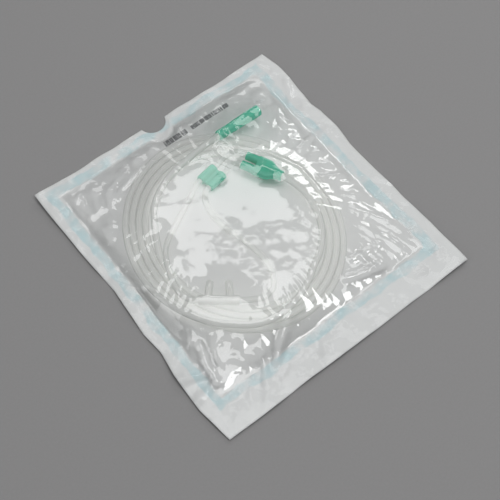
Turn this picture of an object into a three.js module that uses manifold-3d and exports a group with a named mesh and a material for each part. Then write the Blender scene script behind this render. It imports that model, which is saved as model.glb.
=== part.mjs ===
// A nasal oxygen cannula, coiled flat and sealed in its peel pouch.
// Millimetres, +Z up. The pouch lies on its paper side with its notched top edge towards +Y,
// and the origin is on the table under the middle of the pouch.
import * as THREE from "three";
import { mergeVertices } from "three/addons/utils/BufferGeometryUtils.js";
import Module from "manifold-3d";

const wasm = await Module();
wasm.setup();

// Clearances: between pieces that touch, and between the film and what it covers
const GAP = 0.3;
const FILM_GAP = 0.4;

// Pouch: a paper sheet and a clear film with the same outline
const POUCH_WIDTH = 200;
const POUCH_LENGTH = 220;
const PAPER_THICK = 0.3;
const FILM_THICK = 0.4;
const NOTCH_WIDTH = 20;
const NOTCH_DEPTH = 8;

// Inner edges of the seal, about the pouch's middle
const SEAL_LEFT = 13 - POUCH_WIDTH / 2;
const SEAL_RIGHT = POUCH_WIDTH / 2 - 16;
const SEAL_BOTTOM = 25 - POUCH_LENGTH / 2;
const SEAL_TOP = POUCH_LENGTH / 2 - 11;

// Tubes
const SUPPLY_OD = 4.7;
const HEAD_OD = 4;
const HEAD_BORE = 2.6;
const SUPPLY_BORE = 3.2;

// Supply tube's coil: one flat layer, squeezed a little by the narrow pouch
const COIL_TURNS = 5;
const COIL_OUTER = 79;
const COIL_X = -7.5;
const COIL_Y = 3.5;
const SQUEEZE_X = 0.93;
const SQUEEZE_Y = 1.057;
const COIL_SEGMENTS = 48;

// Funnel connector
const FUNNEL_LENGTH = 36;
const FUNNEL_MOUTH_OD = 8.4;
const FUNNEL_MOUTH_DEPTH = 16;
const SOCKET_WALL = 1.05;

// Y-connector
const Y_LENGTH = 29;
const LEG_SPACING = 8;
const LEG_WALL = 0.8;
const LEG_LENGTH = 15;
const SOCKET_DEPTH = 9;
const Y_BEVEL = 1;

// Slider
const SLIDER_LENGTH = 14.4;
const SLIDER_SPACING = 8.3;
const SLIDER_WALL = 1.1;
const SLIDER_WEB = 3;

// Nasal prongs
const BARREL_LENGTH = 27;
const BARREL_SOCKET = 7;
const BARREL_WALL = 0.8;
const PRONG_SPACING = 13.7;
const PRONG_OD = 5;
const PRONG_BORE = 3;
const PRONG_REACH = 13.5;

// Diameters of the sockets and of the pieces round them
const SUPPLY_SOCKET = SUPPLY_OD + 2 * GAP;
const HEAD_SOCKET = HEAD_OD + 2 * GAP;
const STEM_OD = SUPPLY_SOCKET + 2 * SOCKET_WALL;
const LEG_OD = HEAD_SOCKET + 2 * LEG_WALL;
const SLIDER_OD = HEAD_SOCKET + 2 * SLIDER_WALL;
const BARREL_OD = HEAD_SOCKET + 2 * BARREL_WALL;

// Heights: what lies on the paper, and what lies on the coil
const ON_PAPER = PAPER_THICK + GAP;
const COIL_TOP = ON_PAPER + SUPPLY_OD;
const ON_COIL = COIL_TOP + GAP;
const HEAD_LOW = ON_PAPER + HEAD_OD / 2;
const HEAD_HIGH = ON_COIL + HEAD_OD / 2;
const SUPPLY_HIGH = ON_COIL + SUPPLY_OD / 2;

// Where each fitting lies: x, y, height of its axis, and its turn in degrees
const FUNNEL_SPOT = { x: 26.8, y: 67.5, z: ON_COIL + FUNNEL_MOUTH_OD / 2, turn: 0 };
const Y_SPOT = { x: 29, y: 40.5, z: ON_COIL + STEM_OD / 2, turn: -65 };
const SLIDER_SPOT = { x: 4.6, y: 45.9, z: ON_PAPER + SLIDER_OD / 2, turn: 10 };
const PRONG_SPOT = { x: -49.8, y: -33.6, z: ON_COIL + BARREL_OD / 2, turn: -38.2 };

// A solid for manifold-3d from a three.js geometry, and back
function solidOf(geometry) {
  const bare = geometry.index ? geometry.toNonIndexed() : geometry.clone();
  bare.deleteAttribute("normal");
  bare.deleteAttribute("uv");
  const merged = mergeVertices(bare, 1e-4);
  const index = merged.index.array;
  const corners = [];
  for (let i = 0; i < index.length; i += 3) {
    const [a, b, c] = [index[i], index[i + 1], index[i + 2]];
    if (a !== b && b !== c && c !== a) corners.push(a, b, c);
  }
  return new wasm.Manifold(new wasm.Mesh({
    numProp: 3,
    vertProperties: merged.attributes.position.array,
    triVerts: new Uint32Array(corners),
  }));
}

function geometryOf(solid) {
  const mesh = solid.getMesh();
  const geometry = new THREE.BufferGeometry();
  geometry.setAttribute("position", new THREE.BufferAttribute(mesh.vertProperties, 3));
  geometry.setIndex(new THREE.BufferAttribute(mesh.triVerts, 1));
  return geometry;
}

const joined = (...geometries) => geometries.map(solidOf).reduce((all, next) => all.add(next));

// A turned piece with its axis along +X; each profile point is (radius, distance along the axis)
function turned(profile, segments = 24) {
  const points = profile.map(([radius, along]) => new THREE.Vector2(radius, along));
  return new THREE.LatheGeometry(points, segments).rotateZ(-Math.PI / 2);
}

// A straight round rod from one point of the XY plane to another
function rod(diameter, [x1, y1], [x2, y2], segments = 20) {
  const length = Math.hypot(x2 - x1, y2 - y1);
  return new THREE.CylinderGeometry(diameter / 2, diameter / 2, length, segments)
    .rotateZ(Math.atan2(y2 - y1, x2 - x1) - Math.PI / 2)
    .translate((x1 + x2) / 2, (y1 + y2) / 2, 0);
}

function curveThrough(points) {
  return new THREE.CatmullRomCurve3(points.map((point) => new THREE.Vector3(...point)), false, "centripetal");
}

// A round bar swept along a smooth curve through the given points
function swept(points, diameter, sides, steps) {
  const extrudePath = curveThrough(points);
  const rim = Array.from({ length: sides }, (_, i) => {
    const angle = (2 * Math.PI * i) / sides;
    return new THREE.Vector2(Math.cos(angle), Math.sin(angle)).multiplyScalar(diameter / 2);
  });
  return new THREE.ExtrudeGeometry(new THREE.Shape(rim), { steps, extrudePath });
}

// A point on a fitting, by its distances along and across the fitting's axis
function spotPoint(spot, along, across) {
  const angle = THREE.MathUtils.degToRad(spot.turn);
  return [
    spot.x + along * Math.cos(angle) - across * Math.sin(angle),
    spot.y + along * Math.sin(angle) + across * Math.cos(angle),
    spot.z,
  ];
}

function put(geometry, spot) {
  return geometry.rotateZ(THREE.MathUtils.degToRad(spot.turn)).translate(spot.x, spot.y, spot.z);
}

// A ring shape about +Z, squeezed and placed like the coil
function roundTheCoil(profile) {
  const points = profile.map(([radius, height]) => new THREE.Vector2(radius, height));
  return new THREE.LatheGeometry(points, COIL_SEGMENTS)
    .rotateX(Math.PI / 2)
    .scale(SQUEEZE_X, SQUEEZE_Y, 1)
    .translate(COIL_X, COIL_Y, 0);
}

// Pouch
function pouchOutline() {
  const right = POUCH_WIDTH / 2;
  const top = POUCH_LENGTH / 2;
  const radius = (NOTCH_WIDTH ** 2 / 4 + NOTCH_DEPTH ** 2) / (2 * NOTCH_DEPTH);
  const rise = radius - NOTCH_DEPTH;
  const edge = Math.asin(rise / radius);
  const outline = new THREE.Shape();
  outline.moveTo(-right, -top);
  outline.lineTo(right, -top);
  outline.lineTo(right, top);
  outline.absarc(0, top + rise, radius, -edge, edge - Math.PI, true);
  outline.lineTo(-right, top);
  return outline;
}

function sheet(bottom, thick) {
  const settings = { depth: thick, bevelEnabled: false, curveSegments: 10 };
  return new THREE.ExtrudeGeometry(pouchOutline(), settings).translate(0, 0, bottom);
}

// Film: a taut skin on a round grid about the coil's centre. The grid's rings go out to the coil's
// edge at share 1, and from there to the seal at share 2.
const SKIN_SEGMENTS = 72;
const SKIN_SHARES = [0, 0.18, 0.35, 0.5, 0.6, 0.68, 0.75, 0.82, 0.88, 0.94, 1, 1.15, 1.3, 1.45, 1.7, 2];
const SKIN_EDGE = COIL_OUTER + 2 * FILM_GAP;
const SKIN_LAST = SKIN_SHARES.length - 1;

// Distance from the coil's centre to the seal, in the coil's squeezed measure
function sealReach(angle) {
  const across = SQUEEZE_X * Math.cos(angle);
  const along = SQUEEZE_Y * Math.sin(angle);
  const sideways = ((across > 0 ? SEAL_RIGHT : SEAL_LEFT) - COIL_X) / across;
  const lengthways = ((along > 0 ? SEAL_TOP : SEAL_BOTTOM) - COIL_Y) / along;
  return Math.min(...[sideways, lengthways].filter((distance) => distance > 0));
}

function skinRadius(segment, ring) {
  const share = SKIN_SHARES[ring];
  const reach = sealReach((2 * Math.PI * segment) / SKIN_SEGMENTS);
  return share <= 1 ? share * SKIN_EDGE : SKIN_EDGE + (share - 1) * (reach - SKIN_EDGE);
}

// Raises the corners of each grid cell that holds one of the points
function liftSkin(lowest, points) {
  for (const [x, y, z] of points) {
    const [dx, dy] = [(x - COIL_X) / SQUEEZE_X, (y - COIL_Y) / SQUEEZE_Y];
    const angle = Math.atan2(dy, dx);
    const turn = (angle / (2 * Math.PI) + 1) % 1;
    const segment = Math.floor(turn * SKIN_SEGMENTS);
    const radius = Math.hypot(dx, dy);
    const beyond = (radius - SKIN_EDGE) / (sealReach(angle) - SKIN_EDGE);
    const share = radius <= SKIN_EDGE ? radius / SKIN_EDGE : 1 + beyond;
    const outer = SKIN_SHARES.findIndex((limit) => limit > share);
    for (const column of [segment, (segment + 1) % SKIN_SEGMENTS]) {
      for (const ring of [outer - 1, outer]) {
        lowest[column][ring] = Math.max(lowest[column][ring], z + FILM_GAP);
      }
    }
  }
}

// Points on top of a round bar along a line of centres, and a little to its sides
function barTop(centres, diameter) {
  const radius = diameter / 2;
  return centres.flatMap(([x, y, z], i) => {
    const [nextX, nextY] = i + 1 < centres.length ? centres[i + 1] : [2 * x - centres[i - 1][0], 2 * y - centres[i - 1][1]];
    const length = Math.hypot(nextX - x, nextY - y) || 1;
    const [sideX, sideY] = [-(nextY - y) / length, (nextX - x) / length];
    return [-1.3, -0.9, -0.5, 0, 0.5, 0.9, 1.3].map((side) => [
      x + side * radius * sideX,
      y + side * radius * sideY,
      z + radius * Math.sqrt(Math.max(0, 1 - side * side)),
    ]);
  });
}

function straight(spot, from, to, across = 0) {
  const steps = Math.ceil(to - from);
  return Array.from({ length: steps + 1 }, (_, i) => spotPoint(spot, from + ((to - from) * i) / steps, across));
}

// The lowest that the film can lie: on the coil, on the tubes and on the fittings
function lowestSkin() {
  const lowest = Array.from({ length: SKIN_SEGMENTS }, () => SKIN_SHARES.map(() => PAPER_THICK));
  const inner = COIL_OUTER - COIL_TURNS * SUPPLY_OD;
  for (let segment = 0; segment < SKIN_SEGMENTS; segment += 1) {
    for (let ring = 0; ring <= SKIN_LAST; ring += 1) {
      const covers = SKIN_SHARES[ring] <= 1 && (SKIN_SHARES[ring + 1] ?? 2) * SKIN_EDGE > inner;
      if (covers) lowest[segment][ring] = COIL_TOP + FILM_GAP;
    }
  }
  const tubes = [[funnelLead, SUPPLY_OD], [yLead, SUPPLY_OD], [leftRoute, HEAD_OD], [rightRoute, HEAD_OD]];
  for (const [route, diameter] of tubes) {
    const centres = curveThrough(route).getSpacedPoints(160).map((point) => point.toArray());
    liftSkin(lowest, barTop(centres, diameter));
  }
  liftSkin(lowest, barTop(straight(FUNNEL_SPOT, -1, FUNNEL_LENGTH + 1), FUNNEL_MOUTH_OD));
  liftSkin(lowest, barTop(straight(Y_SPOT, LEG_LENGTH, Y_LENGTH + 1), STEM_OD));
  liftSkin(lowest, barTop(straight(PRONG_SPOT, -BARREL_LENGTH / 2, BARREL_LENGTH / 2), BARREL_OD));
  for (const side of [-1, 1]) {
    liftSkin(lowest, barTop(straight(Y_SPOT, -1, 18, (side * LEG_SPACING) / 2), LEG_OD));
    const sleeve = straight(SLIDER_SPOT, -SLIDER_LENGTH / 2, SLIDER_LENGTH / 2, (side * SLIDER_SPACING) / 2);
    liftSkin(lowest, barTop(sleeve, SLIDER_OD));
    const turned90 = { ...PRONG_SPOT, turn: PRONG_SPOT.turn + 90 };
    liftSkin(lowest, barTop(straight(turned90, 0, PRONG_REACH + 1, (side * PRONG_SPACING) / 2), PRONG_OD + 0.6));
  }
  return lowest;
}

// The film pulls straight: each point goes to the mean of its neighbours, unless something holds it up
function settledSkin() {
  const lowest = lowestSkin();
  const height = lowest.map((column) => column.map((low, ring) => (ring === SKIN_LAST ? PAPER_THICK : Math.max(low, 8))));
  const turn = (2 * Math.PI) / SKIN_SEGMENTS;
  for (let pass = 0; pass < 600; pass += 1) {
    const middle = height.reduce((sum, column) => sum + column[1], 0) / SKIN_SEGMENTS;
    for (let segment = 0; segment < SKIN_SEGMENTS; segment += 1) {
      const left = height[(segment + SKIN_SEGMENTS - 1) % SKIN_SEGMENTS];
      const right = height[(segment + 1) % SKIN_SEGMENTS];
      height[segment][0] = middle;
      for (let ring = 1; ring < SKIN_LAST; ring += 1) {
        const radius = skinRadius(segment, ring);
        const inStep = radius - skinRadius(segment, ring - 1);
        const outStep = skinRadius(segment, ring + 1) - radius;
        const step = (inStep + outStep) / 2;
        const inPull = (radius - inStep / 2) / (radius * inStep * step);
        const outPull = (radius + outStep / 2) / (radius * outStep * step);
        const sidePull = 1 / (radius * turn) ** 2;
        const pulled = inPull * height[segment][ring - 1] + outPull * height[segment][ring + 1]
          + sidePull * (left[ring] + right[ring]);
        const mean = pulled / (inPull + outPull + 2 * sidePull);
        height[segment][ring] = Math.max(lowest[segment][ring], mean);
      }
    }
  }
  return height;
}

// The room under the skin, as a solid: a turned shape whose points go to the grid's places
function underSkin(height, grow) {
  const outline = [new THREE.Vector2(0, -1), new THREE.Vector2(1, -1)];
  SKIN_SHARES.forEach((share) => outline.push(new THREE.Vector2(2 - share, 1)));
  const geometry = new THREE.LatheGeometry(outline, SKIN_SEGMENTS);
  const position = geometry.attributes.position;
  for (let i = 0; i < position.count; i += 1) {
    const segment = Math.floor(i / outline.length) % SKIN_SEGMENTS;
    const spot = i % outline.length;
    const ring = spot < 2 ? spot * SKIN_LAST : SKIN_LAST + 2 - spot;
    const radius = skinRadius(segment, ring);
    const angle = (2 * Math.PI * segment) / SKIN_SEGMENTS;
    position.setXYZ(
      i,
      COIL_X + SQUEEZE_X * radius * Math.cos(angle),
      COIL_Y + SQUEEZE_Y * radius * Math.sin(angle),
      spot < 2 ? -1 : height[segment][ring] + grow,
    );
  }
  return geometry;
}

function film() {
  const height = settledSkin();
  const outside = joined(sheet(PAPER_THICK, FILM_THICK), underSkin(height, FILM_THICK));
  const below = new THREE.BoxGeometry(2 * POUCH_WIDTH, 2 * POUCH_LENGTH, 40)
    .translate(0, 0, PAPER_THICK - 20);
  return geometryOf(outside.subtract(solidOf(underSkin(height, 0))).subtract(solidOf(below)));
}

// Coil: one turned ring, on which the turns show as rounds above and below
function coil() {
  const radius = SUPPLY_OD / 2;
  const middle = ON_PAPER + radius;
  const inner = COIL_OUTER - COIL_TURNS * SUPPLY_OD;
  const turns = Array.from({ length: COIL_TURNS }, (_, i) => COIL_OUTER - radius - i * SUPPLY_OD);
  const round = (centre, degrees) => degrees.map((degree) => {
    const angle = THREE.MathUtils.degToRad(degree);
    return [centre + radius * Math.cos(angle), middle + radius * Math.sin(angle)];
  });
  const start = [COIL_OUTER, middle];
  const above = turns.flatMap((centre) => round(centre, [30, 90, 150]));
  const below = [...turns].reverse().flatMap((centre) => round(centre, [210, 270, 330]));
  return roundTheCoil([start, ...above, [inner, middle], ...below, start]);
}

// Fittings, each with its axis along +X from the end where its thin tube or tubes enter
function funnel() {
  const socket = SUPPLY_SOCKET / 2;
  const stem = STEM_OD / 2;
  const mouth = FUNNEL_MOUTH_OD / 2;
  const length = FUNNEL_LENGTH;
  const mouthStart = length - FUNNEL_MOUTH_DEPTH;
  return turned([
    [stem - 0.3, 0],
    [stem, 0.4],
    [stem, 12],
    [stem + 0.2, 13],
    [stem + 0.2, 22],
    [mouth, 25],
    [mouth, length - 0.4],
    [mouth - 0.25, length],
    [mouth - 0.9, length],
    [mouth - 1.4, mouthStart],
    [SUPPLY_BORE / 2, mouthStart - 2],
    [SUPPLY_BORE / 2, SOCKET_DEPTH + 1],
    [socket, SOCKET_DEPTH + 1],
    [socket, 0],
    [stem - 0.3, 0],
  ]);
}

function yBodyOutline() {
  const half = (LEG_SPACING + LEG_OD) / 2 - Y_BEVEL;
  const end = STEM_OD / 2 - Y_BEVEL;
  const outline = new THREE.Shape();
  outline.moveTo(10, -half);
  outline.lineTo(17, -half);
  outline.bezierCurveTo(21, -half, 22, -end, 25, -end);
  outline.lineTo(25, end);
  outline.bezierCurveTo(22, end, 21, half, 17, half);
  outline.lineTo(10, half);
  return outline;
}

function yConnector() {
  const side = LEG_SPACING / 2;
  const thick = LEG_OD - 0.6;
  const settings = {
    depth: thick - 2 * Y_BEVEL,
    bevelThickness: Y_BEVEL,
    bevelSize: Y_BEVEL,
    bevelSegments: 2,
    curveSegments: 5,
  };
  const body = new THREE.ExtrudeGeometry(yBodyOutline(), settings)
    .translate(0, 0, Y_BEVEL - thick / 2);
  const outside = joined(
    body,
    rod(STEM_OD, [20, 0], [Y_LENGTH, 0], 24),
    rod(LEG_OD, [0, side], [LEG_LENGTH, side]),
    rod(LEG_OD, [0, -side], [LEG_LENGTH, -side]),
  );
  const inside = joined(
    rod(SUPPLY_SOCKET, [Y_LENGTH - SOCKET_DEPTH, 0], [Y_LENGTH + 1, 0]),
    rod(HEAD_SOCKET, [-1, side], [SOCKET_DEPTH, side]),
    rod(HEAD_SOCKET, [-1, -side], [SOCKET_DEPTH, -side]),
    rod(HEAD_BORE, [SOCKET_DEPTH - 1, side], [Y_LENGTH - 8, 0], 12),
    rod(HEAD_BORE, [SOCKET_DEPTH - 1, -side], [Y_LENGTH - 8, 0], 12),
  );
  return geometryOf(outside.subtract(inside));
}

function slider() {
  const half = SLIDER_LENGTH / 2;
  const outer = SLIDER_OD / 2;
  const sleeve = (side) => turned([
    [0, -half],
    [outer - 0.5, -half],
    [outer, 0.7 - half],
    [outer, half - 0.7],
    [outer - 0.5, half],
    [0, half],
  ], 20).translate(0, (side * SLIDER_SPACING) / 2, 0);
  const bore = (side) => rod(
    HEAD_SOCKET,
    [-half - 1, (side * SLIDER_SPACING) / 2],
    [half + 1, (side * SLIDER_SPACING) / 2],
  );
  const web = new THREE.BoxGeometry(SLIDER_LENGTH - 1.4, SLIDER_SPACING, SLIDER_WEB);
  return geometryOf(joined(sleeve(1), sleeve(-1), web).subtract(joined(bore(1), bore(-1))));
}

// The prongs rise from the barrel towards +Y and bend down and a little inwards
function prongs() {
  const half = BARREL_LENGTH / 2;
  const outer = BARREL_OD / 2;
  const side = PRONG_SPACING / 2;
  const reach = PRONG_REACH;
  const bend = (sign, extra) => [
    [sign * side, 0, 0],
    [sign * side, 0.37 * reach, 0.3],
    [sign * (side - 0.25), 0.67 * reach, -0.5],
    [sign * (side - 0.65), reach, -2.2],
    ...extra.map((more) => [sign * (side - 0.7), reach + more, -2.2 - 0.4 * more]),
  ];
  const barrel = turned([
    [0, -half],
    [outer - 0.4, -half],
    [outer, 0.6 - half],
    [outer, half - 0.6],
    [outer - 0.4, half],
    [0, half],
  ]);
  const outside = joined(
    barrel,
    swept(bend(1, []), PRONG_OD, 14, 7),
    swept(bend(-1, []), PRONG_OD, 14, 7),
  );
  const inside = joined(
    rod(PRONG_BORE + 0.2, [-half, 0], [half, 0], 14),
    rod(HEAD_SOCKET, [-half - 1, 0], [BARREL_SOCKET - half, 0]),
    rod(HEAD_SOCKET, [half - BARREL_SOCKET, 0], [half + 1, 0]),
    swept(bend(1, [1]), PRONG_BORE, 12, 8),
    swept(bend(-1, [1]), PRONG_BORE, 12, 8),
  );
  return geometryOf(outside.subtract(inside));
}

// Routes of the tubes
const leg = LEG_SPACING / 2;
const lane = SLIDER_SPACING / 2;
const barrelEnd = BARREL_LENGTH / 2;
const alongY = (across, ...distances) => distances.map((along) => spotPoint(Y_SPOT, along, across));
const alongSlider = (across) => [10, 7.2, 0, -7.2, -10].map((along) => spotPoint(SLIDER_SPOT, along, across));
const alongBarrel = (...distances) => distances.map((along) => spotPoint(PRONG_SPOT, along, 0));

const funnelLead = [
  ...[8, 4, 0, -4].map((along) => spotPoint(FUNNEL_SPOT, along, 0)),
  [15.6, 67.6, SUPPLY_HIGH + 0.9],
  [7, 67.2, SUPPLY_HIGH + 0.2],
  [-3, 66, SUPPLY_HIGH],
  [-14, 63.9, SUPPLY_HIGH],
  [-25, 60.3, SUPPLY_HIGH],
  [-35.5, 54.5, SUPPLY_HIGH],
  [-44, 46.5, SUPPLY_HIGH],
  [-49.5, 38, SUPPLY_HIGH],
];

const yLead = [
  ...alongY(0, 22, 26, Y_LENGTH, Y_LENGTH + 3),
  [44.8, 4.5, SUPPLY_HIGH + 0.6],
  [45.9, -4, SUPPLY_HIGH],
  [45, -14.5, SUPPLY_HIGH],
  [41.3, -25.8, SUPPLY_HIGH],
  [34.8, -36.4, SUPPLY_HIGH],
  [25, -46, SUPPLY_HIGH],
  [13, -53.2, SUPPLY_HIGH],
];

const leftRoute = [
  ...alongY(leg, 7, 3, 0, -3.5),
  [29.3, 48.9, HEAD_HIGH + 1.4],
  [25.2, 51.3, HEAD_HIGH + 0.7],
  [20, 52.3, HEAD_HIGH - 0.9],
  ...alongSlider(lane),
  [-12, 45.2, HEAD_LOW + 0.6],
  [-19.3, 41.5, HEAD_LOW],
  [-35, 32.8, HEAD_LOW],
  [-45, 26.9, HEAD_LOW + 0.4],
  [-52, 21.6, HEAD_LOW + 2],
  [-57.5, 14.5, HEAD_HIGH - 0.8],
  [-61.8, 5.5, HEAD_HIGH],
  [-65, -4, HEAD_HIGH],
  [-66.6, -13, HEAD_HIGH + 0.3],
  ...alongBarrel(-barrelEnd - 5, -barrelEnd, -barrelEnd + 6),
];

const rightRoute = [
  ...alongY(-leg, 7, 3, 0, -3),
  [21.2, 43.7, HEAD_HIGH + 0.4],
  [17.5, 44.4, HEAD_HIGH - 1.8],
  ...alongSlider(-lane),
  [-9, 36.2, HEAD_LOW + 0.6],
  [-11.6, 29, HEAD_LOW],
  [-12.5, 21, HEAD_LOW],
  [-11.4, 7.1, HEAD_LOW],
  [-8.7, -4.8, HEAD_LOW],
  [-7, -13.8, HEAD_LOW],
  [-6.2, -23.2, HEAD_LOW],
  [-7, -31.8, HEAD_LOW],
  [-9.6, -39.8, HEAD_LOW + 0.8],
  [-13.8, -45.6, HEAD_LOW + 2.4],
  [-20, -49.3, HEAD_HIGH - 0.6],
  [-26.5, -49.6, HEAD_HIGH + 0.6],
  ...alongBarrel(barrelEnd + 5, barrelEnd, barrelEnd - 6),
];

// Materials
function finish(color, roughness, opacity = 1) {
  return new THREE.MeshStandardMaterial({ color, roughness, metalness: 0, opacity, transparent: opacity < 1 });
}
const paper = finish(0xe9e8e6, 0.8);
const filmClear = finish(0xe6eaec, 0.12, 0.25);
const tubeClear = finish(0xe4e8e2, 0.15, 0.5);
const fittingGreen = finish(0x46ad86, 0.3, 0.9);

const cannula = new THREE.Group();
function add(name, geometry, material) {
  const mesh = new THREE.Mesh(geometry, material);
  mesh.name = name;
  cannula.add(mesh);
}

add("pouch_paper", sheet(0, PAPER_THICK), paper);
add("pouch_film", film(), filmClear);
add("supply_coil", coil(), tubeClear);
add("supply_lead_funnel", swept(funnelLead, SUPPLY_OD, 10, 14), tubeClear);
add("supply_lead_y", swept(yLead, SUPPLY_OD, 10, 14), tubeClear);
add("supply_connector", put(funnel(), FUNNEL_SPOT), fittingGreen);
add("y_connector", put(yConnector(), Y_SPOT), fittingGreen);
add("slider", put(slider(), SLIDER_SPOT), fittingGreen);
add("nasal_prongs", put(prongs(), PRONG_SPOT), tubeClear);
add("head_tube_left", swept(leftRoute, HEAD_OD, 8, 38), tubeClear);
add("head_tube_right", swept(rightRoute, HEAD_OD, 8, 40), tubeClear);

export default cannula;
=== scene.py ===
# %% [markdown]
# # An oxygen cannula in its peel pouch
# A long clear tube lies coiled flat between a paper sheet and a clear film. Its funnel connector,
# its Y-piece and the small slider are green. Two thin tubes run to the soft nasal prongs.
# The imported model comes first: each piece made here rides on it and takes a node's place.

# %% Load the frame
import math

import bmesh
import bpy
import numpy as np
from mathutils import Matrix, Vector, noise


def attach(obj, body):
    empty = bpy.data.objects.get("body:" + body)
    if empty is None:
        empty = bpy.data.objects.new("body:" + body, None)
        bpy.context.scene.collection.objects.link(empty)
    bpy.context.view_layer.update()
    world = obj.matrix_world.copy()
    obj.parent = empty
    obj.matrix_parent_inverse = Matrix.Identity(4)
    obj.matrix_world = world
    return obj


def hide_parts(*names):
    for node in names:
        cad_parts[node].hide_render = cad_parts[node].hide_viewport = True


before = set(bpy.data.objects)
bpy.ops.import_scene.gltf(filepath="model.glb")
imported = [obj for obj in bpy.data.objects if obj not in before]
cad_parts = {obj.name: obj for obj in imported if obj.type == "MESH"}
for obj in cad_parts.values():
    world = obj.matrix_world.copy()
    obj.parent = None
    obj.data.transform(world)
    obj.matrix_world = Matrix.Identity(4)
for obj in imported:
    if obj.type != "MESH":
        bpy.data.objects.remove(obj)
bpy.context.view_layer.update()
MM = 0.001
print("nodes:", ", ".join(sorted(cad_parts)))

# %% [markdown]
# The camera stands where the photographer stood, a little to the left and high above the pouch.
# A long lens keeps the pouch's edges nearly parallel.

# %% Camera
AZIMUTH = math.radians(-38.227)
ELEVATION = math.radians(61.835)
DISTANCE = 693.3 * MM
TARGET = Vector((-8.645, -13.652, 0)) * MM
towards_camera = Vector((
    math.sin(AZIMUTH) * math.cos(ELEVATION),
    -math.cos(AZIMUTH) * math.cos(ELEVATION),
    math.sin(ELEVATION),
))
camera = bpy.data.objects.new("camera", bpy.data.cameras.new("camera"))
bpy.context.scene.collection.objects.link(camera)
camera.location = TARGET + towards_camera * DISTANCE
camera.rotation_euler = (-towards_camera).to_track_quat("-Z", "Y").to_euler()
camera.data.sensor_width = 36
camera.data.lens = 74.3
camera.data.clip_start = 0.01
bpy.context.scene.camera = camera
print("camera at", [round(c, 3) for c in camera.location])

# %% [markdown]
# A tube is one smooth line with a round section. The line goes through a few given points,
# and is sampled finely enough to look round in every bend. The points are the part's own, in mm.

# %% A smooth line through points
def smooth_line(points, step=2.5):
    """Samples a centripetal spline through the points, about one sample for each step."""
    knots = [Vector(p) for p in points]
    knots = [2 * knots[0] - knots[1], *knots, 2 * knots[-1] - knots[-2]]
    line = []
    for a, b, c, d in zip(knots, knots[1:], knots[2:], knots[3:]):
        t0 = 0
        t1 = t0 + (b - a).length ** 0.5
        t2 = t1 + (c - b).length ** 0.5
        t3 = t2 + (d - c).length ** 0.5
        count = max(1, round((c - b).length / step))
        for i in range(count):
            t = t1 + (t2 - t1) * i / count
            ab = a.lerp(b, (t - t0) / (t1 - t0))
            bc = b.lerp(c, (t - t1) / (t2 - t1))
            cd = c.lerp(d, (t - t2) / (t3 - t2))
            before = ab.lerp(bc, (t - t0) / (t2 - t0))
            after = bc.lerp(cd, (t - t1) / (t3 - t1))
            line.append(before.lerp(after, (t - t1) / (t2 - t1)))
    return line + [knots[-2]]


def line_length(line):
    """The line's length, in the same units as its points."""
    return sum((b - a).length for a, b in zip(line, line[1:]))


def tube_curve(name, line, diameter):
    """A curve object along the line, with a round section."""
    curve = bpy.data.curves.new(name, "CURVE")
    curve.dimensions = "3D"
    curve.bevel_depth = 1.0
    curve.bevel_resolution = 4
    curve.use_fill_caps = True
    spline = curve.splines.new("POLY")
    spline.points.add(len(line) - 1)
    for point, place in zip(spline.points, line):
        point.co = (*(place * MM), 1)
        point.radius = diameter / 2 * MM
    spline.use_smooth = True
    tube = bpy.data.objects.new(name, curve)
    bpy.context.scene.collection.objects.link(tube)
    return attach(tube, "root")


# %% [markdown]
# The pieces lie on two levels: on the paper, and on top of the coil. These are the same sizes and
# places as the model's.

# %% Sizes and places
GAP = 0.3
PAPER_TOP = 0.3
SUPPLY_OD = 4.7
HEAD_OD = 4.0
ON_PAPER = PAPER_TOP + GAP
ON_COIL = ON_PAPER + SUPPLY_OD + GAP
SUPPLY_LOW = ON_PAPER + SUPPLY_OD / 2
SUPPLY_HIGH = ON_COIL + SUPPLY_OD / 2
HEAD_LOW = ON_PAPER + HEAD_OD / 2
HEAD_HIGH = ON_COIL + HEAD_OD / 2
STEM_OD = SUPPLY_OD + 2 * GAP + 2.1
LEG_OD = HEAD_OD + 2 * GAP + 1.6
SLIDER_OD = HEAD_OD + 2 * GAP + 2.2
FUNNEL_OD = 8.4
FUNNEL_LENGTH = 36
Y_LENGTH = 29
LEG_SPACING = 8
SLIDER_SPACING = 8.3
SLIDER_LENGTH = 14.4
BARREL_LENGTH = 27
PRONG_SPACING = 13.7
FUNNEL_SPOT = (26.8, 67.5, ON_COIL + FUNNEL_OD / 2, 0)
Y_SPOT = (29, 40.5, ON_COIL + STEM_OD / 2, -65)
SLIDER_SPOT = (4.6, 45.9, ON_PAPER + SLIDER_OD / 2, 10)
PRONG_SPOT = (-49.8, -33.6, ON_COIL + LEG_OD / 2, -38.2)
COIL_CENTRE = (-7.5, 3.5)
COIL_SQUEEZE = (0.93, 1.057)


def on_spot(spot, along, across=0, up=0):
    """A point on a fitting, by its distances along, across and above the fitting's axis."""
    turn = math.radians(spot[3])
    x = spot[0] + along * math.cos(turn) - across * math.sin(turn)
    y = spot[1] + along * math.sin(turn) + across * math.cos(turn)
    return (x, y, spot[2] + up)


def round_the_coil(radius, degrees, height):
    """A point of the slightly oval coil, by its radius and its direction from the middle."""
    angle = math.radians(degrees)
    x = COIL_CENTRE[0] + COIL_SQUEEZE[0] * radius * math.cos(angle)
    y = COIL_CENTRE[1] + COIL_SQUEEZE[1] * radius * math.sin(angle)
    return (x, y, height)


print("coil's top at", ON_PAPER + SUPPLY_OD, "mm")

# %% [markdown]
# The supply tube leaves the funnel on top of the coil and dives into it. Four turns lie flat side by
# side, each a diameter further out. The last one climbs on the others and crosses inwards to the Y.
# Real turns are never quite even, so a slow noise moves each by a fraction of a millimetre.

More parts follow.
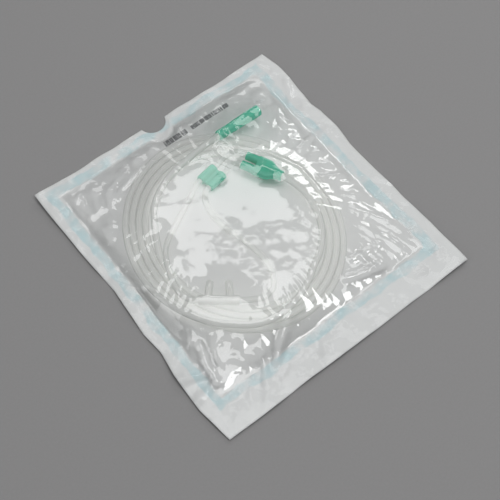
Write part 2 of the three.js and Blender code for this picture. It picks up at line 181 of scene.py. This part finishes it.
# %% Supply tube
TURNS = 4
DIVE = 168
INNER_LANE = 57.85
LANE = 4.7
funnel_part = [
    *[on_spot(FUNNEL_SPOT, along) for along in (8, 4, 0, -4)],
    (15.6, 67.6, SUPPLY_HIGH + 0.9),
    (7, 67.2, SUPPLY_HIGH + 0.2),
    (-3, 66, SUPPLY_HIGH),
    (-14, 63.9, SUPPLY_HIGH),
    (-25, 60.3, SUPPLY_HIGH),
    (-35.5, 54.5, SUPPLY_HIGH),
    (-44, 46.5, SUPPLY_HIGH),
    (-49.5, 38, SUPPLY_HIGH - 0.6),
    round_the_coil(56.2, 155, SUPPLY_LOW + 2),
]
coil_part = []
for degrees in range(DIVE, DIVE + 360 * TURNS + 1, 12):
    lane = INNER_LANE + LANE * (degrees - DIVE) / 360
    stray = 0.45 * noise.noise(Vector((degrees / 50, 3.1, 0)))
    coil_part.append(round_the_coil(lane + stray, degrees, SUPPLY_LOW))
climb_part = []
outer_lane = INNER_LANE + LANE * (TURNS - 1)
for share in (0.2, 0.4, 0.6, 0.8, 1.0):
    lift = math.pi / 2 * share
    radius = outer_lane + LANE * math.cos(lift) + 0.2
    climb_part.append(round_the_coil(radius, DIVE + 60 * share, SUPPLY_LOW + 5 * math.sin(lift)))
crossing_part = [
    round_the_coil(71.4, 240, SUPPLY_HIGH),
    round_the_coil(68.6, 252, SUPPLY_HIGH),
    round_the_coil(64.6, 265, SUPPLY_HIGH),
    round_the_coil(60.8, 279, SUPPLY_HIGH),
]
y_part = [
    (13, -53.2, SUPPLY_HIGH),
    (25, -46, SUPPLY_HIGH),
    (34.8, -36.4, SUPPLY_HIGH),
    (41.3, -25.8, SUPPLY_HIGH),
    (45, -14.5, SUPPLY_HIGH),
    (45.9, -4, SUPPLY_HIGH),
    (44.8, 4.5, SUPPLY_HIGH + 0.6),
    *[on_spot(Y_SPOT, along) for along in (Y_LENGTH + 3, Y_LENGTH, 26, 22)],
]
supply_line = smooth_line(funnel_part + coil_part + climb_part + crossing_part + y_part)
supply_tube = tube_curve("supply_tube", supply_line, SUPPLY_OD)
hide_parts("supply_coil", "supply_lead_funnel", "supply_lead_y")

# %% [markdown]
# The two head tubes leave the Y's legs side by side and pass through the slider. The left one runs
# straight to the coil's left side, and the right one makes a long S down the middle.

# %% Head tubes
slider_steps = (10, 7.2, 0, -7.2, -10)
half_barrel = BARREL_LENGTH / 2
left_line = smooth_line([
    *[on_spot(Y_SPOT, along, LEG_SPACING / 2) for along in (7, 3, 0, -3.5)],
    (29.3, 48.9, HEAD_HIGH + 1.4),
    (25.2, 51.3, HEAD_HIGH + 0.7),
    (20, 52.3, HEAD_HIGH - 0.9),
    *[on_spot(SLIDER_SPOT, along, SLIDER_SPACING / 2) for along in slider_steps],
    (-12, 45.2, HEAD_LOW + 0.6),
    (-19.3, 41.5, HEAD_LOW),
    (-35, 32.8, HEAD_LOW),
    (-45, 26.9, HEAD_LOW + 0.4),
    (-52, 21.6, HEAD_LOW + 2),
    (-57.5, 14.5, HEAD_HIGH - 0.8),
    (-61.8, 5.5, HEAD_HIGH),
    (-65, -4, HEAD_HIGH),
    (-66.6, -13, HEAD_HIGH + 0.3),
    *[on_spot(PRONG_SPOT, along) for along in (-half_barrel - 5, -half_barrel, -half_barrel + 6)],
], 2)
right_line = smooth_line([
    *[on_spot(Y_SPOT, along, -LEG_SPACING / 2) for along in (7, 3, 0, -3)],
    (21.2, 43.7, HEAD_HIGH + 0.4),
    (17.5, 44.4, HEAD_HIGH - 1.8),
    *[on_spot(SLIDER_SPOT, along, -SLIDER_SPACING / 2) for along in slider_steps],
    (-9, 36.2, HEAD_LOW + 0.6),
    (-11.6, 29, HEAD_LOW),
    (-12.5, 21, HEAD_LOW),
    (-11.4, 7.1, HEAD_LOW),
    (-8.7, -4.8, HEAD_LOW),
    (-7, -13.8, HEAD_LOW),
    (-6.2, -23.2, HEAD_LOW),
    (-7, -31.8, HEAD_LOW),
    (-9.6, -39.8, HEAD_LOW + 0.8),
    (-13.8, -45.6, HEAD_LOW + 2.4),
    (-20, -49.3, HEAD_HIGH - 0.6),
    (-26.5, -49.6, HEAD_HIGH + 0.6),
    *[on_spot(PRONG_SPOT, along) for along in (half_barrel + 5, half_barrel, half_barrel - 6)],
], 2)
head_tube_a = tube_curve("head_tube_a", left_line, HEAD_OD)
head_tube_b = tube_curve("head_tube_b", right_line, HEAD_OD)
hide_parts("head_tube_left")
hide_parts("head_tube_right")
print("head tubes are", round(line_length(left_line)), "and", round(line_length(right_line)), "mm long")

# %% [markdown]
# The four mouldings come out of the model as loose triangles. A copy of each is merged into one
# skin and shaded smooth, and only the edges that a mould really leaves stay sharp.

# %% Moulded fittings
SHARP_EDGE = math.radians(34)
WELD_DISTANCE = 0.02


def moulded_copy(name, node_name):
    """A merged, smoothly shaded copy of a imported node, which then stands for that node."""
    bm = bmesh.new()
    bm.from_mesh(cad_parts[node_name].data)
    bmesh.ops.remove_doubles(bm, verts=bm.verts, dist=WELD_DISTANCE * MM)
    for face in bm.faces:
        face.smooth = True
    for edge in bm.edges:
        edge.smooth = edge.calc_face_angle(math.pi) < SHARP_EDGE
    mesh = bpy.data.meshes.new(name)
    bm.to_mesh(mesh)
    bm.free()
    moulding = bpy.data.objects.new(name, mesh)
    bpy.context.scene.collection.objects.link(moulding)
    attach(moulding, "root")
    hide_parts(node_name)
    print(name, "has", len(mesh.polygons), "faces")
    return moulding


fittings = {
    "supply_connector": moulded_copy("funnel_connector", "supply_connector"),
    "y_connector": moulded_copy("y_piece", "y_connector"),
    "slider": moulded_copy("slider_piece", "slider"),
    "nasal_prongs": moulded_copy("prong_piece", "nasal_prongs"),
}

# %% [markdown]

print("three tubes made")

# %% [markdown]
# Paper and film are two sheets with the same outline, sealed together all round. Each starts as a
# flat grid. The notch is made by pulling the grid's top rows down along an arc, so that the edge
# stays clean. The handled pouch isn't flat: its corners lift and its edges waver a little.

# %% Sheet sizes and the shared outline
POUCH_WIDTH = 200
POUCH_LENGTH = 220
CELL = 1.25
NOTCH_WIDTH = 20
NOTCH_DEPTH = 8
WEB_THICKNESS = 0.25
SEAL = {"left": -87, "right": 84, "bottom": -85, "top": 99}
COLUMNS = round(POUCH_WIDTH / CELL)
ROWS = round(POUCH_LENGTH / CELL)


RIDGE_SHARPNESS = 2.6


def noise_field(x, y, scale, seed, ridged=False):
    """Smooth noise from -1 to 1 over the whole grid, or sharp ridges from 0 to 1."""
    values = np.array([
        noise.noise(Vector((a / scale, b / scale, seed)))
        for a, b in zip(x.ravel(), y.ravel())
    ]).reshape(x.shape)
    return 1 - np.clip(np.abs(values) * RIDGE_SHARPNESS, 0, 1) if ridged else values


def soft_step(low, high, value):
    """0 at low and 1 at high, with a smooth way between; low may be the greater one."""
    share = np.clip((value - low) / (high - low), 0, 1)
    return share * share * (3 - 2 * share)


flat_x, flat_y = np.meshgrid(
    np.linspace(-POUCH_WIDTH / 2, POUCH_WIDTH / 2, COLUMNS + 1),
    np.linspace(-POUCH_LENGTH / 2, POUCH_LENGTH / 2, ROWS + 1),
)
edge_distance = np.minimum(POUCH_WIDTH / 2 - np.abs(flat_x), POUCH_LENGTH / 2 - np.abs(flat_y))
inside_seal = np.minimum.reduce([
    flat_x - SEAL["left"], SEAL["right"] - flat_x, flat_y - SEAL["bottom"], SEAL["top"] - flat_y,
])
print("each sheet has", flat_x.size, "points")

# %% Waver of the pouch's edges
NOTCH_REACH = 30
EDGE_REACH = 40
CORNER_REACH = 45
CORNER_LIFT = 1.2
half_width = POUCH_WIDTH / 2
half_length = POUCH_LENGTH / 2
notch_radius = (NOTCH_WIDTH ** 2 / 4 + NOTCH_DEPTH ** 2) / (2 * NOTCH_DEPTH)
notch_drop = np.sqrt(np.clip(notch_radius ** 2 - flat_x ** 2, 0, None)) - (notch_radius - NOTCH_DEPTH)
notch_share = soft_step(half_length - NOTCH_REACH, half_length, flat_y)
notch_drop = np.clip(notch_drop, 0, None) * notch_share
near_edge = soft_step(EDGE_REACH, 0, edge_distance)
LEFT_PLACES = [-110, -84, -55, -37, -20, 17, 60, 110]
LEFT_BULGE = [0, 3.6, 2.3, -0.5, 0.8, -2, -0.5, 0]
RIGHT_PLACES = [-110, 10, 27, 44, 53, 79, 95, 110]
RIGHT_BULGE = [0, 0, 1.3, 2, 0, 2.8, 2.9, 0]
left_bulge = np.interp(flat_y, LEFT_PLACES, LEFT_BULGE)
right_bulge = np.interp(flat_y, RIGHT_PLACES, RIGHT_BULGE)
sheet_x = flat_x + 0.6 * near_edge * noise_field(flat_x, flat_y, 34, 5.0)
sheet_x += right_bulge * soft_step(65, 100, flat_x) - left_bulge * soft_step(-65, -100, flat_x)
sheet_y = flat_y + 0.8 * near_edge * noise_field(flat_x, flat_y, 31, 9.0) - notch_drop
waver = noise_field(flat_x, flat_y, 38, 2.0) + 0.5 * noise_field(flat_x, flat_y, 17, 4.0)
lift = near_edge * np.clip(0.9 + 2.6 * waver, 0, None)
corner_distance = np.hypot(half_width - np.abs(flat_x), half_length - np.abs(flat_y))
sheet_lift = lift + CORNER_LIFT * soft_step(CORNER_REACH, 0, corner_distance)
print("edges lift up to", round(float(sheet_lift.max()), 1), "mm")

# %% [markdown]
# The film is pulled over everything in the pouch like a taut skin. Its height is worked out on the
# grid: every point rests at the mean of its neighbours, unless a tube or a fitting pushes it up.
# That is what a stretched film does, so it clings to the coil's top and bridges its middle.

# %% What pushes the film up
FILM_CLEARANCE = 0.45


def push_up(floor_height, line, diameter):
    """Raises the grid of obstacle heights under a round bar along the line."""
    reach = diameter / 2 + FILM_CLEARANCE
    steps = math.ceil(reach / CELL)
    for place in line:
        column = round((place[0] + POUCH_WIDTH / 2) / CELL)
        row = round((place[1] + POUCH_LENGTH / 2) / CELL)
        rows = slice(max(0, row - steps), row + steps + 1)
        columns = slice(max(0, column - steps), column + steps + 1)
        away = (flat_x[rows, columns] - place[0]) ** 2 + (flat_y[rows, columns] - place[1]) ** 2
        top = place[2] + np.sqrt(np.clip(reach ** 2 - away, 0, None))
        top = np.where(away < reach ** 2, top, 0)
        floor_height[rows, columns] = np.maximum(floor_height[rows, columns], top)


def bar_line(spot, start, end, across=0):
    """Points about a millimetre apart along a fitting's axis, or beside it."""
    count = max(2, round(abs(end - start)))
    return [on_spot(spot, start + (end - start) * i / count, across) for i in range(count + 1)]


obstacle = np.zeros_like(flat_x)
for line, diameter in ((supply_line, SUPPLY_OD), (left_line, HEAD_OD), (right_line, HEAD_OD)):
    push_up(obstacle, line, diameter)
push_up(obstacle, bar_line(FUNNEL_SPOT, 0, 24), STEM_OD)
push_up(obstacle, bar_line(FUNNEL_SPOT, 20, FUNNEL_LENGTH), FUNNEL_OD)
push_up(obstacle, bar_line(Y_SPOT, 14, Y_LENGTH), STEM_OD)
push_up(obstacle, bar_line(PRONG_SPOT, -half_barrel, half_barrel), LEG_OD)
for side in (-1, 1):
    push_up(obstacle, bar_line(Y_SPOT, 0, 18, side * LEG_SPACING / 2), LEG_OD)
    push_up(obstacle, bar_line(SLIDER_SPOT, -7.2, 7.2, side * SLIDER_SPACING / 2), SLIDER_OD)
    prong = [on_spot(PRONG_SPOT, side * 6.6, reach, -0.012 * reach ** 2) for reach in range(14)]
    push_up(obstacle, prong, 5)
print("highest thing in the pouch:", round(float(obstacle.max()), 1), "mm")

# %% Let the film settle
START_HEIGHT = 8.0
SETTLE_PASSES = 2500


def settle(height, lowest, fixed, passes):
    """Each point goes to its neighbours' mean, never below what pushes it up."""
    for _ in range(passes):
        mean = height.copy()
        mean[1:-1, 1:-1] = (
            height[:-2, 1:-1] + height[2:, 1:-1] + height[1:-1, :-2] + height[1:-1, 2:]
        ) / 4
        height = np.where(fixed, height, np.maximum(mean, lowest))
    return height


sealed = inside_seal <= 0
film_height = np.where(sealed, 0, START_HEIGHT)
film_height = settle(film_height, obstacle, sealed, SETTLE_PASSES)
print("film's top at", round(float(film_height.max()), 1), "mm")

# %% [markdown]
# A real film has been handled: where nothing holds it, it crinkles. Between the coil and the seal
# the creases run outwards, across the top of the coil they run across the turns, and in the middle
# the film only undulates. Ridged noise makes the creases, in the film's own polar directions.

# %% Where the film crinkles, and how
ring_x = (flat_x - COIL_CENTRE[0]) / COIL_SQUEEZE[0]
ring_y = (flat_y - COIL_CENTRE[1]) / COIL_SQUEEZE[1]
ring_radius = np.hypot(ring_x, ring_y)
ring_angle = np.arctan2(ring_y, ring_x)
round_x = 46 * np.cos(ring_angle) + ring_radius * 0.18
round_y = 46 * np.sin(ring_angle) + ring_radius * 0.18
skirt = soft_step(76, 88, ring_radius) * soft_step(0, 9, inside_seal)
over_coil = soft_step(52, 58, ring_radius) * soft_step(84, 76, ring_radius)
middle = soft_step(60, 48, ring_radius)
radial = noise_field(round_x, round_y, 8, 1.5, True)
radial = radial + 0.6 * noise_field(round_x, round_y, 3.6, 7.5, True)
crumple = noise_field(flat_x, flat_y, 15, 3.3, True) + 0.6 * noise_field(flat_x, flat_y, 7, 6.1, True)
swell = noise_field(flat_x, flat_y, 24, 8.8)
ragged = noise_field(flat_x, flat_y, 11, 2.7)
across_turns = noise_field(round_x, round_y, 3.2, 4.4, True)
ripple = noise_field(flat_x, flat_y, 4.5, 12.4)
crinkled = film_height + skirt * (1.1 * radial + 0.7 * crumple)
crinkled += over_coil * 0.30 * across_turns
crinkled += middle * (0.09 * swell + 0.07 * ragged)
crinkled += middle * 0.02 * ripple
print("the skirt takes", round(100 * float(skirt.mean())), "% of the film")

# %% [markdown]
# A few folds are too plain to leave to noise: long pleats at the corners, where the film was drawn
# in, and the film's own creased line over the coil. Each is a ridge along a few points, in mm.

# %% Single creases
RIDGE_SHAPE = 1.3
FAR_AWAY = 1e9


def crease(points, height, width):
    """A sharp ridge in the film along a line of points."""
    away = np.full_like(flat_x, FAR_AWAY)
    for (x0, y0), (x1, y1) in zip(points, points[1:]):
        run = (x1 - x0) ** 2 + (y1 - y0) ** 2
        share = np.clip(((flat_x - x0) * (x1 - x0) + (flat_y - y0) * (y1 - y0)) / run, 0, 1)
        aside = np.hypot(flat_x - x0 - share * (x1 - x0), flat_y - y0 - share * (y1 - y0))
        away = np.minimum(away, aside)
    return height * np.clip(1 - away / width, 0, 1) ** RIDGE_SHAPE


creases = (
    ([(38.6, -63.2), (60, -66.2)], 1.9, 4),
    ([(26.8, -71.8), (51, -78.2)], 2.4, 4.5),
    ([(-18.6, -69.1), (-30, -76), (-46, -87.6)], 2.8, 4.5),
    ([(-77, -50), (-81, -62), (-82, -76)], 2.4, 3.5),
    ([(-100, -60), (-86, -66)], 2.2, 5),
    ([(-100, -79), (-84, -75)], 2.0, 4.5),
    ([(-96, 22), (-84, 6)], 1.2, 5),
    ([(-60, -96), (-52, -84)], 1.4, 4),
    ([(88, 62), (97, 80)], 1.2, 4),
    ([(-49, 76), (-30.5, 81.3)], 1.2, 3),
    ([(62, -2), (79, -9)], 1.6, 4),
    ([(66, 24), (81, 30)], 1.6, 3.5),
    ([(25.5, 70), (30.1, 46.7), (45.4, 32.5), (56, 12.6), (54, -21.6)], 0.7, 2.2),
    ([(22.7, 64.5), (14.9, 60), (14.2, 50), (20, 37)], 0.8, 2.0),
    ([(-62, 36), (-67, 20), (-67, 2)], 0.6, 2.5),
)
for points, height, width in creases:
    crinkled += crease(points, height, width)
print(len(creases), "single creases")

# %% [markdown]
# Where film and paper are sealed together they crumple as one sheet. Both also follow the lift of
# the pouch's edges, which fades out towards the coil. The film never dips under the paper.

# %% Heights of both sheets
LIFT_FADE = 30
CRUMPLE_FADE = 6
WEB_GAP = 0.2
sealed_crumple = noise_field(flat_x, flat_y, 13, 5.3, True)
sealed_crumple = sealed_crumple + 0.4 * noise_field(flat_x, flat_y, 5, 9.1, True)
crumple_share = soft_step(0, CRUMPLE_FADE, edge_distance)
crinkled += crumple_share * np.where(sealed, 0.5 * sealed_crumple, 0)
film_height = np.where(sealed, crinkled, np.maximum(crinkled, obstacle))
edge_lift = sheet_lift * soft_step(LIFT_FADE, 0, inside_seal)
film_top = edge_lift + film_height + PAPER_TOP + WEB_THICKNESS
paper_top = edge_lift + PAPER_TOP + np.where(sealed, 0.45 * sealed_crumple * crumple_share, 0)
film_top = np.maximum(film_top, paper_top + WEB_GAP)
print("crinkled film's top at", round(float(film_top.max()), 1), "mm")

# %% Make both sheets
def grid_sheet(name, height):
    """A grid mesh whose points take the sheets' outline and the given heights."""
    bm = bmesh.new()
    bmesh.ops.create_grid(bm, x_segments=COLUMNS, y_segments=ROWS, size=0.5)
    for vert in bm.verts:
        column = round((vert.co.x + 0.5) * COLUMNS)
        row = round((vert.co.y + 0.5) * ROWS)
        vert.co = Vector((sheet_x[row, column], sheet_y[row, column], height[row, column])) * MM
    for face in bm.faces:
        face.smooth = True
    mesh = bpy.data.meshes.new(name)
    bm.to_mesh(mesh)
    bm.free()
    made = bpy.data.objects.new(name, mesh)
    bpy.context.scene.collection.objects.link(made)
    print(name, "has", len(mesh.polygons), "faces")
    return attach(made, "root")


paper = grid_sheet("paper_sheet", paper_top)
film = grid_sheet("film_sheet", film_top)
backing = paper.modifiers.new("thickness", "SOLIDIFY")
backing.thickness = WEB_THICKNESS * MM
backing.offset = -1
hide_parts("pouch_paper")
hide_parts("pouch_film")

# %% [markdown]
# Materials are small node trees. This helper makes a node and sets its sockets by name, so that
# each tree below reads as a list of what it is made of.

# %% Node helpers
def new_material(name):
    """An empty material, and its node tree."""
    material = bpy.data.materials.new(name)
    material.use_nodes = True
    material.node_tree.nodes.clear()
    return material, material.node_tree


def node(tree, kind, sockets=None, **settings):
    """A new node. A socket's value is set on it, or linked where it is another node's output."""
    made = tree.nodes.new(kind)
    for key, value in settings.items():
        setattr(made, key, value)
    for key, value in (sockets or {}).items():
        if isinstance(value, bpy.types.NodeSocket):
            tree.links.new(value, made.inputs[key])
        else:
            made.inputs[key].default_value = value
    return made


def maths(tree, operation, a, b=0.0):
    return node(tree, "ShaderNodeMath", {0: a, 1: b}, operation=operation).outputs[0]


def fade(tree, value, low, high):
    """1 where the value is over high, 0 where it is under low."""
    return node(
        tree, "ShaderNodeMapRange",
        {"Value": value, "From Min": low, "From Max": high}, interpolation_type="SMOOTHSTEP",
    ).outputs["Result"]


def object_place(tree):
    """The point on the piece in its own coordinates, and the node that splits it into X, Y and Z."""
    place = node(tree, "ShaderNodeTexCoord").outputs["Object"]
    return place, node(tree, "ShaderNodeSeparateXYZ", {"Vector": place})


def noise_node(tree, place, scale, detail=3.0):
    return node(tree, "ShaderNodeTexNoise", {"Vector": place, "Scale": scale, "Detail": detail})


def mix_colour(tree, factor, a, b):
    return node(tree, "ShaderNodeMix", {0: factor, 6: a, 7: b}, data_type="RGBA").outputs[2]


def show(tree, shader):
    node(tree, "ShaderNodeOutputMaterial", {"Surface": shader.outputs[0]})


# %% [markdown]
# The paper is white with faint fibres. A pale blue line is printed along the seal, and a row of
# plain dark bars stands by the notch. Distances from the seal's edges make the line in the shader.

# %% Distances on the sheet
def inside_box(tree, axes, left, right, bottom, top):
    """Distance-like value: over 0 inside a box on the sheet, in metres."""
    gaps = (
        maths(tree, "SUBTRACT", axes[0], left),
        maths(tree, "SUBTRACT", right, axes[0]),
        maths(tree, "SUBTRACT", axes[1], bottom),
        maths(tree, "SUBTRACT", top, axes[1]),
    )
    first = maths(tree, "MINIMUM", gaps[0], gaps[1])
    second = maths(tree, "MINIMUM", gaps[2], gaps[3])
    return maths(tree, "MINIMUM", first, second)


def inside_seal_box(tree, axes):
    """Over 0 where the film is free, under 0 where it is sealed to the paper."""
    left, right, bottom, top = (SEAL[side] * MM for side in ("left", "right", "bottom", "top"))
    return inside_box(tree, axes, left, right, bottom, top)


def seal_line(tree, axes, wobble):
    """The printed line just outside the seal's inner edge."""
    within = maths(tree, "ADD", inside_seal_box(tree, axes), wobble)
    outer = fade(tree, within, -0.0075, -0.0060)
    inner = fade(tree, within, 0.0004, -0.0008)
    return maths(tree, "MULTIPLY", outer, inner)


print("the seal's inner box:", SEAL)

# %% Paper
paper_white, tree = new_material("paper_white")
place, split = object_place(tree)
axes = (split.outputs["X"], split.outputs["Y"])
drift = noise_node(tree, place, 60.0)
wobble = maths(tree, "MULTIPLY", maths(tree, "SUBTRACT", drift.outputs["Fac"], 0.5), 0.008)
line_share = seal_line(tree, axes, wobble)
patchy = fade(tree, noise_node(tree, place, 90.0).outputs["Fac"], 0.25, 0.7)
line_share = maths(tree, "MULTIPLY", line_share, maths(tree, "MULTIPLY", patchy, 0.42))
fibres = noise_node(tree, place, 1800.0, 6.0)
cloudy = noise_node(tree, place, 140.0, 4.0)
white = mix_colour(tree, cloudy.outputs["Fac"], (0.80, 0.80, 0.79, 1), (0.87, 0.87, 0.86, 1))
tinted = mix_colour(tree, line_share, white, (0.32, 0.66, 0.72, 1))
row_one = fade(tree, inside_box(tree, axes, -0.004, 0.0155, 0.0878, 0.0924), 0.0, 0.0002)
row_two = fade(tree, inside_box(tree, axes, 0.0195, 0.0525, 0.0882, 0.0918), 0.0, 0.0002)
across = node(tree, "ShaderNodeCombineXYZ", {"X": axes[0]}).outputs[0]
bars = fade(tree, noise_node(tree, across, 620.0, 1.0).outputs["Fac"], 0.40, 0.44)
worn = fade(tree, noise_node(tree, place, 900.0, 2.0).outputs["Fac"], 0.32, 0.42)
bars = maths(tree, "MULTIPLY", bars, worn)
print_share = maths(tree, "MULTIPLY", maths(tree, "MAXIMUM", row_one, row_two), bars)
print_share = maths(tree, "MULTIPLY", print_share, 0.8)
inked = mix_colour(tree, print_share, tinted, (0.03, 0.035, 0.04, 1))
rough = fibres.outputs["Fac"]
grain = node(tree, "ShaderNodeBump", {"Height": rough, "Strength": 0.15, "Distance": 0.0004})
show(tree, node(tree, "ShaderNodeBsdfPrincipled", {
    "Base Color": inked, "Roughness": 0.72, "Normal": grain.outputs["Normal"],
    "Specular IOR Level": 0.3,
}))
paper.data.materials.append(paper_white)
print("paper:", len(tree.nodes), "nodes")

# %% [markdown]
# The film is clear, so most light goes straight through. What one sees of it is its gloss, which
# grows towards grazing angles, and a slight milkiness. The gloss is stronger where the film is free:
# there it is a mirror with air under it, and at the seal it has taken the paper's mattness.

# %% Film
film_clear, tree = new_material("film_clear")
place, split = object_place(tree)
fine = noise_node(tree, place, 420.0, 4.0)
height = fine.outputs["Fac"]
tiny = node(tree, "ShaderNodeBump", {"Height": height, "Strength": 0.05, "Distance": 0.0002})
milky = node(tree, "ShaderNodeBsdfDiffuse", {"Color": (0.9, 0.92, 0.93, 1)})
gloss = node(tree, "ShaderNodeBsdfGlossy", {"Roughness": 0.02, "Normal": tiny.outputs["Normal"]})
edge = node(tree, "ShaderNodeFresnel", {"IOR": 1.5, "Normal": tiny.outputs["Normal"]})
axes = (split.outputs["X"], split.outputs["Y"])
free_share = fade(tree, inside_seal_box(tree, axes), -0.002, 0.002)
through = node(tree, "ShaderNodeBsdfTransparent", {"Color": (0.885, 0.89, 0.89, 1)})
body = node(tree, "ShaderNodeMixShader", {0: 0.05, 1: through.outputs[0], 2: milky.outputs[0]})
strength = maths(tree, "ADD", maths(tree, "MULTIPLY", free_share, 1.3), 0.5)
share = maths(tree, "MULTIPLY", edge.outputs["Fac"], strength)
show(tree, node(tree, "ShaderNodeMixShader", {0: share, 1: body.outputs[0], 2: gloss.outputs[0]}))
film.data.materials.append(film_clear)
print("film:", len(tree.nodes), "nodes")

# %% [markdown]
# Soft clear vinyl is a little cloudy, and a tube's wall looks densest at its edges, where one looks
# along it, and at a thin line where its channel's edge shows. A ramp over the facing angle gives
# that. Light passes the wall almost unhindered, so the turns don't darken one another.

# %% Clear tube
tube_clear, tree = new_material("tube_clear")
facing = node(tree, "ShaderNodeLayerWeight", {"Blend": 0.5}).outputs["Facing"]
ramp = node(tree, "ShaderNodeValToRGB", {"Fac": facing})
stops = ramp.color_ramp.elements
stops[0].position, stops[0].color = 0.0, (0.72, 0.72, 0.72, 1)
stops[1].position, stops[1].color = 1.0, (0.88, 0.88, 0.88, 1)
for position, level in ((0.20, 0.68), (0.27, 0.90), (0.34, 0.70), (0.6, 0.75)):
    stop = stops.new(position)
    stop.color = (level, level, level, 1)
clear = node(tree, "ShaderNodeBsdfTransparent", {"Color": (0.99, 0.99, 0.985, 1)})
vinyl = node(tree, "ShaderNodeBsdfPrincipled", {
    "Base Color": (0.98, 0.985, 0.97, 1), "Roughness": 0.16, "IOR": 1.35,
})
glow = node(tree, "ShaderNodeBsdfTranslucent", {"Color": (1.0, 1.0, 0.99, 1)})
vinyl = node(tree, "ShaderNodeMixShader", {0: 0.45, 1: vinyl.outputs[0], 2: glow.outputs[0]})
shadow = node(tree, "ShaderNodeLightPath").outputs["Is Shadow Ray"]
lit = maths(tree, "SUBTRACT", 1.0, maths(tree, "MULTIPLY", shadow, 0.95))
solid_share = maths(tree, "MULTIPLY", ramp.outputs["Color"], lit)
wall = node(tree, "ShaderNodeMixShader", {0: solid_share, 1: clear.outputs[0], 2: vinyl.outputs[0]})
shine = node(tree, "ShaderNodeBsdfGlossy", {"Roughness": 0.10})
edge = node(tree, "ShaderNodeFresnel", {"IOR": 1.4}).outputs["Fac"]
glint = maths(tree, "MULTIPLY", edge, 0.45)
show(tree, node(tree, "ShaderNodeMixShader", {0: glint, 1: wall.outputs[0], 2: shine.outputs[0]}))
for tube in (supply_tube, head_tube_a, head_tube_b):
    tube.data.materials.append(tube_clear)
prongs = fittings["nasal_prongs"]
prongs.data.materials.clear()
prongs.data.materials.append(tube_clear)
print("tube:", len(tree.nodes), "nodes")

# %% [markdown]
# The green mouldings are vinyl too, dyed through. Part of the light passes them and takes on the
# colour, so they look brighter at thin places.

# %% Green fittings
fitting_green, tree = new_material("fitting_green")
place = object_place(tree)[0]
cloudy = noise_node(tree, place, 300.0)
green = mix_colour(tree, cloudy.outputs["Fac"], (0.06, 0.68, 0.47, 1), (0.12, 0.80, 0.60, 1))
tinted_air = node(tree, "ShaderNodeBsdfTransparent", {"Color": (0.50, 0.96, 0.80, 1)})
moulded = node(tree, "ShaderNodeBsdfPrincipled", {"Base Color": green, "Roughness": 0.22})
show(tree, node(tree, "ShaderNodeMixShader", {0: 0.6, 1: tinted_air.outputs[0], 2: moulded.outputs[0]}))
for name in ("supply_connector", "y_connector", "slider"):
    fittings[name].data.materials.clear()
    fittings[name].data.materials.append(fitting_green)
print("green:", len(tree.nodes), "nodes")

# %% [markdown]
# The pouch lies on a plain grey table top.

# %% Floor
FLOOR_LEVEL = -0.0001
bm = bmesh.new()
bmesh.ops.create_grid(bm, x_segments=1, y_segments=1, size=2.0)
floor_mesh = bpy.data.meshes.new("floor")
bm.to_mesh(floor_mesh)
bm.free()
floor = bpy.data.objects.new("floor", floor_mesh)
bpy.context.scene.collection.objects.link(floor)
for vert in floor_mesh.vertices:
    vert.co.z = FLOOR_LEVEL
floor_grey, tree = new_material("floor_grey")
place = object_place(tree)[0]
speckle = noise_node(tree, place, 700.0, 5.0)
grey = mix_colour(tree, speckle.outputs["Fac"], (0.226, 0.222, 0.221, 1), (0.250, 0.246, 0.245, 1))
show(tree, node(tree, "ShaderNodeBsdfPrincipled", {"Base Color": grey, "Roughness": 0.75}))
floor.data.materials.append(floor_grey)
print("floor:", len(tree.nodes), "nodes")

# %% [markdown]
# Film is a mirror, so what stands where it mirrors the camera's view matters more than how much
# light there is. Windows in the ceiling stand in that spot. They veil the film's far half up to a
# clear-cut edge, and leave a darker band through which the paper shows. The other panels light the
# paper and give the folds their bright edges.

# %% Light
CEILING = 1.79
POUCH_MIDDLE = (0, 0, 0)


def panel(name, place, aim, width, height, power):
    """A rectangular soft light that faces the aim point."""
    light = bpy.data.lights.new(name, "AREA")
    light.shape = "RECTANGLE"
    light.size = width
    light.size_y = height
    light.energy = power
    lamp = bpy.data.objects.new(name, light)
    bpy.context.scene.collection.objects.link(lamp)
    lamp.location = place
    lamp.rotation_euler = (Vector(aim) - Vector(place)).to_track_quat("-Z", "Y").to_euler()
    return lamp


def ceiling_window(name, x, y, width, height, turn, power):
    """A light in the ceiling that faces straight down, turned about its middle by some degrees."""
    lamp = panel(name, (x, y, CEILING), (x, y, 0), width, height, power)
    lamp.rotation_euler = (0, 0, math.radians(turn))


panel("top_panel", (0.10, 0.126, 1.793), POUCH_MIDDLE, 1.5, 0.88, 14)
ceiling_window("wide_window", 0.445, 0.745, 0.50, 0.198, -45, 1.15)
ceiling_window("far_window", 0.475, 0.965, 0.11, 0.17, 0, 0.21)
ceiling_window("thin_window", 0.5775, 0.8275, 0.45, 0.02, -45, 0.11)
panel("front_panel", (0.45, -0.68, 1.3), POUCH_MIDDLE, 0.4, 0.4, 5)
panel("back_panel", (0.95, 1.2, 0.95), POUCH_MIDDLE, 1.2, 0.5, 4)
panel("bright_panel", (1.35, 0.6, 0.9), POUCH_MIDDLE, 0.35, 0.35, 2.6)
panel("side_panel", (-1.5, 0.4, 0.9), POUCH_MIDDLE, 0.9, 0.7, 3.2)
world = bpy.data.worlds.new("room")
bpy.context.scene.world = world
world.use_nodes = True
backdrop = world.node_tree.nodes["Background"]
backdrop.inputs["Color"].default_value = (0.93, 0.96, 1.0, 1)
backdrop.inputs["Strength"].default_value = 0.20
bpy.context.scene.view_settings.view_transform = "Standard"
bpy.context.scene.cycles.transparent_max_bounces = 32

# %% Finish
bpy.context.view_layer.update()
